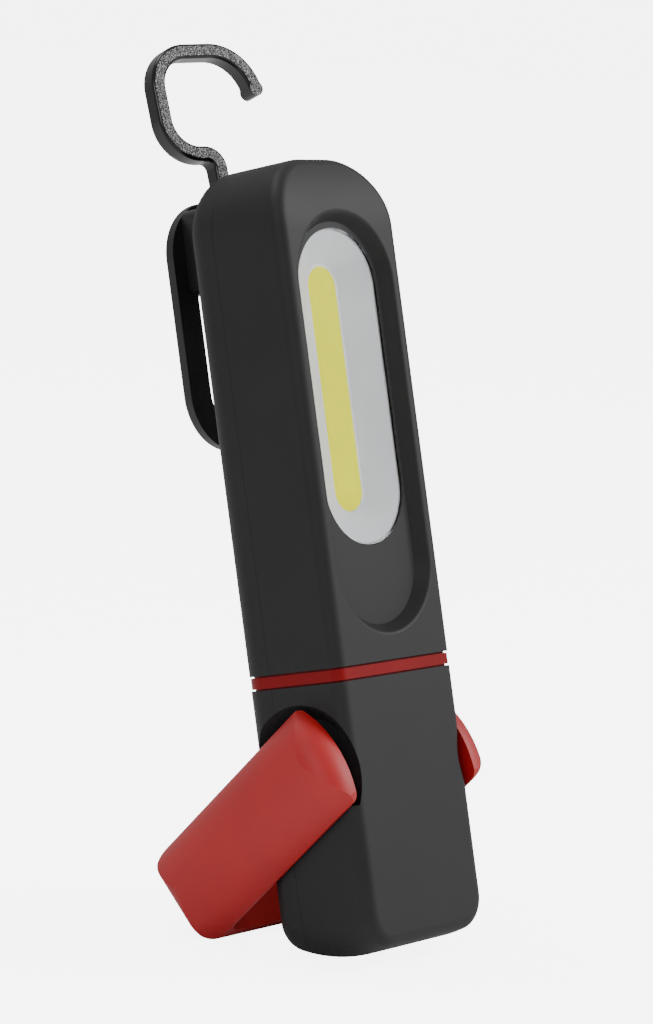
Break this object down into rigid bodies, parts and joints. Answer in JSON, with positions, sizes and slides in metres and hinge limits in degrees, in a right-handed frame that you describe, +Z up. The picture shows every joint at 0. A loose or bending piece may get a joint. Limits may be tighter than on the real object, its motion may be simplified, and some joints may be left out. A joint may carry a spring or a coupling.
{
  "type": "rechargeable inspection lamp",
  "caption": "Hand-held LED inspection lamp with a swing-out stand, a belt clip and a swivel hook, leaning on its stand.",
  "frame": {"origin": "point on the floor straight below the stand's pivot axis, where the round bottom of the base touches it, in the middle of the lamp's width", "axes": "+Z up; -Y towards the side the window faces; +X to the right seen from that side; the lamp leans back towards +Y by 14.0 degrees, resting on its base and the lower edge of its stand"},
  "size_m": [0.0696, 0.1087, 0.2414],
  "materials": {
    "housing_black": "soft-touch, very fine grain",
    "base_black": "soft-touch, very fine grain",
    "ring_red": "satin red",
    "stand_red": "soft satin red",
    "clip_black": "satin black",
    "hook_black": "glossy with grained faces",
    "lens_clear": "clear",
    "reflector_white": "satin white",
    "phosphor_yellow": "smooth resin",
    "board_metal": "brushed",
    "sink_metal": "plain",
    "board_green": "satin",
    "part_black": "satin",
    "cell_wrap": "glossy wrap",
    "nickel": "nickel plated",
    "screw_steel": "zinc plated",
    "button_rubber": "soft matte",
    "flap_rubber": "soft matte",
    "bush_brass": "turned",
    "washer_nylon": "natural nylon",
    "plate_steel": "plain"
  },
  "bodies": {
    "lamp": {"front_housing": "housing_black", "rear_housing": "housing_black", "trim_ring": "ring_red", "base_front_shell": "base_black", "base_rear_shell": "base_black", "lens": "lens_clear", "reflector": "reflector_white", "led_strip": "phosphor_yellow", "led_board": "board_metal", "heat_sink": "sink_metal", "main_board": "board_green", "switch_body": "part_black", "charge_socket": "part_black", "battery_cell": "cell_wrap", "battery_cradle": "part_black", "battery_contacts": "nickel", "clip_block": "clip_black", "clip_screws": "screw_steel", "belt_clip": "clip_black", "pivot_bushes": "bush_brass", "friction_washers": "washer_nylon", "housing_screws": "screw_steel"},
    "button": {"power_button": "button_rubber"},
    "flap": {"port_flap": "flap_rubber"},
    "hook": {"swivel_hook": "hook_black", "hook_retainer": "nickel"},
    "stand": {"stand_bracket": "stand_red", "foot_magnets": "nickel", "foot_plate": "plate_steel", "pivot_pins": "screw_steel", "pivot_clips": "nickel"}
  },
  "joints": [
    {"name": "stand_swing", "type": "hinge", "parent": "lamp", "child": "stand", "pos_m": [0, 0, 0.0492], "axis": [1, 0, 0], "range_deg": [-57.5, 75]},
    {"name": "hook_swivel", "type": "hinge", "parent": "lamp", "child": "hook", "pos_m": [0, 0.06245, 0.20038], "axis": [0, 0.242, 0.9703], "continuous": true},
    {"name": "button_press", "type": "slide", "parent": "lamp", "child": "button", "axis": [0, -0.9703, 0.242], "range_m": [0, 0.0008], "stiffness_N_per_m": 800, "springref_m": -0.001},
    {"name": "flap_open", "type": "hinge", "parent": "lamp", "child": "flap", "pos_m": [0, 0.03128, 0.10107], "axis": [1, 0, 0], "range_deg": [0, 95]}
  ]
}
